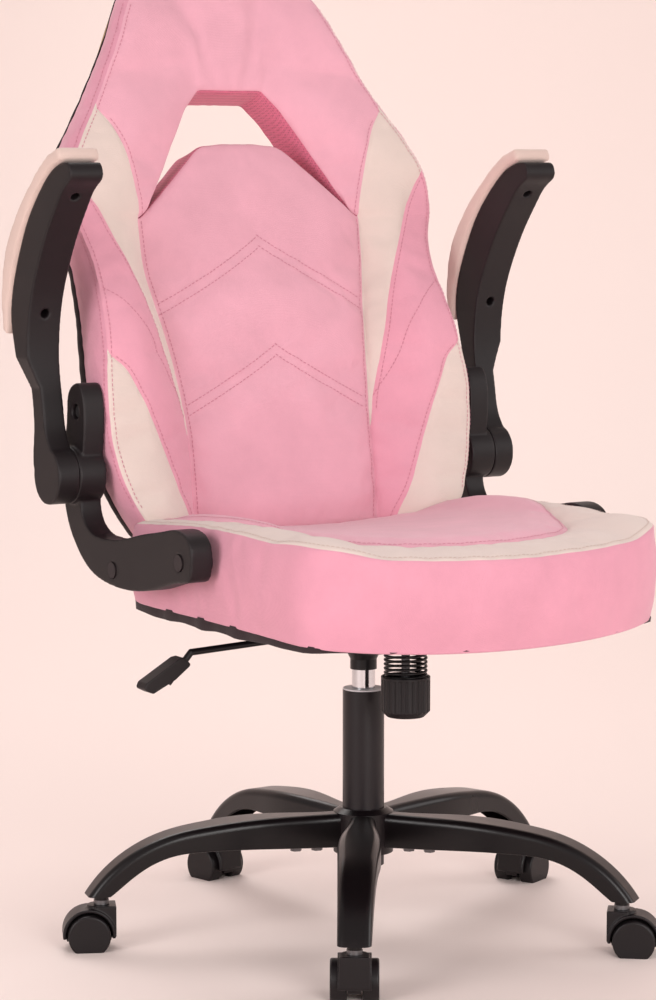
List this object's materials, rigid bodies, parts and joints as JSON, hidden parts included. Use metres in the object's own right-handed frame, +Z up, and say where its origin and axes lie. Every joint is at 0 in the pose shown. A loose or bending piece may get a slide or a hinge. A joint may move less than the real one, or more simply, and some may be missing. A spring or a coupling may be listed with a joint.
{
  "type": "gaming_chair",
  "caption": "Racing-style gaming chair in pink and cream fabric, with flip-up arms, gas lift, rocking tilt and a steel base on twin-wheel casters",
  "frame": {"origin": "On the floor, on the axis of the gas lift.", "axes": "+Z is up. The chair faces -Y, and -X is the sitter's right."},
  "size_m": [0.7114, 0.746, 1.165],
  "materials": {
    "base_black": "satin black powder coat",
    "mechanism_black": "semi-gloss black paint",
    "steel_dark": "zinc-plated steel",
    "chrome": "polished chrome plating",
    "bush_grey": "moulded acetal",
    "arm_black": "fine-textured black nylon",
    "wheel_black": "smooth black nylon",
    "fabric_pink": "matte finely woven upholstery, double stitched",
    "fabric_cream": "matte finely woven upholstery",
    "fabric_black": "matte non-woven backing cloth",
    "board": "raw plywood"
  },
  "bodies": {
    "base": {"base_hub": "base_black", "leg_1": "base_black", "leg_2": "base_black", "leg_3": "base_black", "leg_4": "base_black", "leg_5": "base_black", "leg_bolts": "steel_dark", "caster_stems": "steel_dark", "lift_tube": "mechanism_black", "tube_bush": "bush_grey", "thrust_bearing": "steel_dark"},
    "spindle": {"piston_rod": "chrome"},
    "column": {"pressure_tube": "chrome", "taper_socket": "mechanism_black", "mechanism_housing": "mechanism_black", "tilt_axle": "steel_dark"},
    "valve_pin": {"release_pin": "steel_dark"},
    "tension": {"tension_bolt": "steel_dark", "tilt_spring": "mechanism_black", "spring_washer": "steel_dark"},
    "knob": {"tension_knob": "arm_black"},
    "tilt_lock": {"lock_bar": "steel_dark"},
    "lever": {"lever_rod": "mechanism_black", "lever_paddle": "arm_black"},
    "seat": {"top_plate": "mechanism_black", "plate_bolts": "steel_dark", "dust_cover": "fabric_black", "seat_board": "board", "seat_cushion": "fabric_pink", "side_plates": "steel_dark", "back_cushion": "fabric_pink", "back_board": "board", "rear_cover": "fabric_black", "arm_bracket_right": "arm_black", "arm_bracket_left": "arm_black", "bracket_bolts": "steel_dark", "bracket_plugs": "arm_black", "arm_pivot_pin_right": "steel_dark", "arm_pivot_pin_left": "steel_dark"},
    "arm_right": {"arm_shell_right": "arm_black", "arm_pad_right": "fabric_cream", "pad_screws_right": "steel_dark"},
    "arm_left": {"arm_shell_left": "arm_black", "arm_pad_left": "fabric_cream", "pad_screws_left": "steel_dark"},
    "caster_1": {"caster_1_housing": "arm_black", "caster_1_axle": "steel_dark"},
    "wheels_1": {"caster_1_wheels": "wheel_black"},
    "caster_2": {"caster_2_housing": "arm_black", "caster_2_axle": "steel_dark"},
    "wheels_2": {"caster_2_wheels": "wheel_black"},
    "caster_3": {"caster_3_housing": "arm_black", "caster_3_axle": "steel_dark"},
    "wheels_3": {"caster_3_wheels": "wheel_black"},
    "caster_4": {"caster_4_housing": "arm_black", "caster_4_axle": "steel_dark"},
    "wheels_4": {"caster_4_wheels": "wheel_black"},
    "caster_5": {"caster_5_housing": "arm_black", "caster_5_axle": "steel_dark"},
    "wheels_5": {"caster_5_wheels": "wheel_black"}
  },
  "joints": [
    {"name": "seat_swivel", "type": "hinge", "parent": "base", "child": "spindle", "pos_m": [0, 0, 0.095], "axis": [0, 0, 1], "continuous": true},
    {"name": "lift", "type": "slide", "parent": "spindle", "child": "column", "axis": [0, 0, 1], "range_m": [0, 0.1]},
    {"name": "tilt", "type": "hinge", "parent": "column", "child": "seat", "pos_m": [0, 0.028, 0.384], "axis": [-1, 0, 0], "range_deg": [0, 8], "stiffness_Nm_per_rad": 160, "springref_deg": -17.19},
    {"name": "tension_lift", "type": "slide", "parent": "column", "child": "tension", "axis": [0, 0, 1], "range_m": [0, 0.0172], "deforming": ["tilt_spring"]},
    {"name": "knob_turn", "type": "hinge", "parent": "tension", "child": "knob", "pos_m": [0, -0.093, 0.31], "axis": [0, 0, 1], "range_deg": [-1440, 360]},
    {"name": "lever_pull", "type": "slide", "parent": "column", "child": "tilt_lock", "axis": [-1, 0, 0], "range_m": [0, 0.012]},
    {"name": "lever_lift", "type": "hinge", "parent": "tilt_lock", "child": "lever", "pos_m": [-0.07, 0, 0.3722], "axis": [0, 1, 0], "range_deg": [0, 4], "stiffness_Nm_per_rad": 3, "springref_deg": -5.73},
    {"name": "valve_press", "type": "slide", "parent": "column", "child": "valve_pin", "axis": [0, 0, -1], "range_m": [0, 0.0045]},
    {"name": "arm_flip_right", "type": "hinge", "parent": "seat", "child": "arm_right", "pos_m": [-0.31, 0.19, 0.558], "axis": [1, 0, 0], "range_deg": [0, 60]},
    {"name": "arm_flip_left", "type": "hinge", "parent": "seat", "child": "arm_left", "pos_m": [0.31, 0.19, 0.558], "axis": [1, 0, 0], "range_deg": [0, 60]},
    {"name": "caster_1_swivel", "type": "hinge", "parent": "base", "child": "caster_1", "pos_m": [-0.17913, -0.26758, 0.06], "axis": [0, 0, 1], "continuous": true},
    {"name": "caster_1_roll", "type": "hinge", "parent": "caster_1", "child": "wheels_1", "pos_m": [-0.17118, -0.25486, 0.025], "axis": [-0.848, 0.5299, 0], "continuous": true},
    {"name": "caster_2_swivel", "type": "hinge", "parent": "base", "child": "caster_2", "pos_m": [-0.30983, 0.08767, 0.06], "axis": [0, 0, 1], "continuous": true},
    {"name": "caster_2_roll", "type": "hinge", "parent": "caster_2", "child": "wheels_2", "pos_m": [-0.32343, 0.09401, 0.025], "axis": [-0.4226, -0.9063, 0], "continuous": true},
    {"name": "caster_3_swivel", "type": "hinge", "parent": "base", "child": "caster_3", "pos_m": [-0.01236, 0.32176, 0.06], "axis": [0, 0, 1], "continuous": true},
    {"name": "caster_3_roll", "type": "hinge", "parent": "caster_3", "child": "wheels_3", "pos_m": [-0.01573, 0.33638, 0.025], "axis": [-0.9744, -0.225, 0], "continuous": true},
    {"name": "caster_4_swivel", "type": "hinge", "parent": "base", "child": "caster_4", "pos_m": [0.30219, 0.11119, 0.06], "axis": [0, 0, 1], "continuous": true},
    {"name": "caster_4_roll", "type": "hinge", "parent": "caster_4", "child": "wheels_4", "pos_m": [0.31579, 0.11753, 0.025], "axis": [-0.4226, 0.9063, 0], "continuous": true},
    {"name": "caster_5_swivel", "type": "hinge", "parent": "base", "child": "caster_5", "pos_m": [0.19913, -0.25305, 0.06], "axis": [0, 0, 1], "continuous": true},
    {"name": "caster_5_roll", "type": "hinge", "parent": "caster_5", "child": "wheels_5", "pos_m": [0.21079, -0.26249, 0.025], "axis": [0.6293, 0.7771, 0], "continuous": true}
  ],
  "couplings": [
    {"joint": "tension_lift", "follows": "tilt", "m_per_rad": 0.1205},
    {"joint": "valve_press", "follows": "lever_lift", "m_per_rad": 0.0595}
  ]
}
